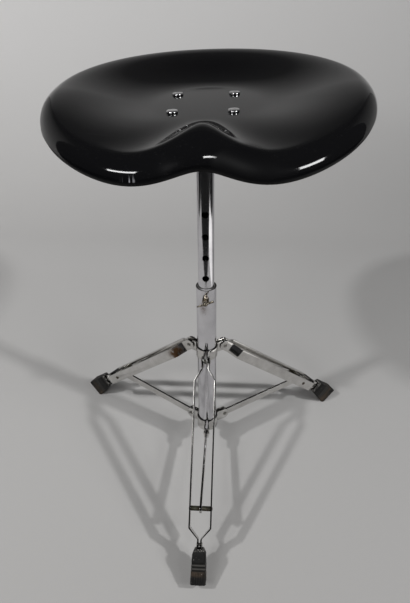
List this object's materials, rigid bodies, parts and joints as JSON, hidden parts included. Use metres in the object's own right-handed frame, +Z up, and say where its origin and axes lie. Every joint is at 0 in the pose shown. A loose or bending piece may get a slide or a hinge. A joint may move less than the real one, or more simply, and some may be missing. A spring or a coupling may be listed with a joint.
{
  "type": "drum stool",
  "caption": "Folding tripod stool with a glossy moulded saddle seat on a height-adjustable chromed post.",
  "frame": {"origin": "the point on the floor on the axis of the post", "axes": "+Z up along the post, -Y towards the front leg and the saddle's horn, +X to the sitter's left"},
  "size_m": [0.4566, 0.4251, 0.6011],
  "materials": {
    "chrome": "bright plating with light wear",
    "plated_steel": "dulled zinc plating",
    "rivet_steel": "dull, stained",
    "saddle": "black high gloss, finely scratched",
    "rubber": "matt moulded rubber",
    "bushing": "plain"
  },
  "bodies": {
    "base": {"base_tube": "chrome", "post_bushing": "bushing", "screw_boss": "rivet_steel", "stop_ring": "plated_steel", "hub_rivets": "rivet_steel", "hub_spacers": "rivet_steel", "hub_plate_right": "plated_steel", "hub_plate_rear": "plated_steel", "hub_plate_left": "plated_steel"},
    "post": {"seat_post": "chrome"},
    "saddle": {"saddle_shell": "saddle", "saddle_bolts": "chrome", "saddle_washers": "plated_steel", "saddle_nuts": "plated_steel", "bracket_plate": "plated_steel", "bracket_socket": "chrome", "bracket_clamp_nut": "plated_steel"},
    "clamp_screw": {"bracket_clamp_screw": "rivet_steel"},
    "height_screw": {"height_screw": "rivet_steel", "height_screw_bar": "rivet_steel"},
    "collar": {"collar_plate_right": "plated_steel", "collar_plate_rear": "plated_steel", "collar_plate_left": "plated_steel", "collar_rivets": "rivet_steel"},
    "front_leg": {"front_leg_strap_a": "plated_steel", "front_leg_strap_b": "plated_steel", "front_crossbar": "rivet_steel", "front_neck_rivet": "rivet_steel", "front_foot": "rubber"},
    "front_brace": {"front_brace": "plated_steel"},
    "right_leg": {"right_leg_strap_a": "plated_steel", "right_leg_strap_b": "plated_steel", "right_crossbar": "rivet_steel", "right_neck_rivet": "rivet_steel", "right_foot": "rubber"},
    "right_brace": {"right_brace": "plated_steel"},
    "left_leg": {"left_leg_strap_a": "plated_steel", "left_leg_strap_b": "plated_steel", "left_crossbar": "rivet_steel", "left_neck_rivet": "rivet_steel", "left_foot": "rubber"},
    "left_brace": {"left_brace": "plated_steel"}
  },
  "joints": [
    {"name": "post_slide", "type": "slide", "parent": "base", "child": "post", "axis": [0, 0, 1], "range_m": [-0.127, 0.0635]},
    {"name": "saddle_swivel", "type": "hinge", "parent": "post", "child": "saddle", "pos_m": [0, 0, 0.54], "axis": [0, 0, 1], "continuous": true},
    {"name": "height_screw_turn", "type": "hinge", "parent": "base", "child": "height_screw", "pos_m": [0, -0.02, 0.31245], "axis": [0, -1, 0], "continuous": true},
    {"name": "clamp_screw_turn", "type": "hinge", "parent": "saddle", "child": "clamp_screw", "pos_m": [0, 0.02, 0.5408], "axis": [0, 1, 0], "continuous": true},
    {"name": "front_leg_fold", "type": "hinge", "parent": "base", "child": "front_leg", "pos_m": [0, -0.0286, 0.2113], "axis": [1, 0, 0], "range_deg": [0, 47.8]},
    {"name": "right_leg_fold", "type": "hinge", "parent": "base", "child": "right_leg", "pos_m": [0.02477, 0.0143, 0.2113], "axis": [-0.5, 0.866, 0], "range_deg": [0, 47.8]},
    {"name": "left_leg_fold", "type": "hinge", "parent": "base", "child": "left_leg", "pos_m": [-0.02477, 0.0143, 0.2113], "axis": [-0.5, -0.866, 0], "range_deg": [0, 47.8]},
    {"name": "collar_slide", "type": "slide", "parent": "base", "child": "collar", "axis": [0, 0, 1], "range_m": [0, 0.09527]},
    {"name": "front_brace_swing", "type": "hinge", "parent": "collar", "child": "front_brace", "pos_m": [0, -0.0308, 0.06175], "axis": [1, 0, 0], "range_deg": [0, 95.91]},
    {"name": "right_brace_swing", "type": "hinge", "parent": "collar", "child": "right_brace", "pos_m": [0.02667, 0.0154, 0.06175], "axis": [-0.5, 0.866, 0], "range_deg": [0, 95.91]},
    {"name": "left_brace_swing", "type": "hinge", "parent": "collar", "child": "left_brace", "pos_m": [-0.02667, 0.0154, 0.06175], "axis": [-0.5, -0.866, 0], "range_deg": [0, 95.91]}
  ],
  "couplings": [
    {"joint": "right_leg_fold", "follows": "front_leg_fold", "ratio": 1},
    {"joint": "left_leg_fold", "follows": "front_leg_fold", "ratio": 1},
    {"joint": "collar_slide", "follows": "front_leg_fold", "m_per_rad": 0.1142},
    {"joint": "front_brace_swing", "follows": "front_leg_fold", "ratio": 2.0064},
    {"joint": "right_brace_swing", "follows": "front_leg_fold", "ratio": 2.0064},
    {"joint": "left_brace_swing", "follows": "front_leg_fold", "ratio": 2.0064}
  ]
}
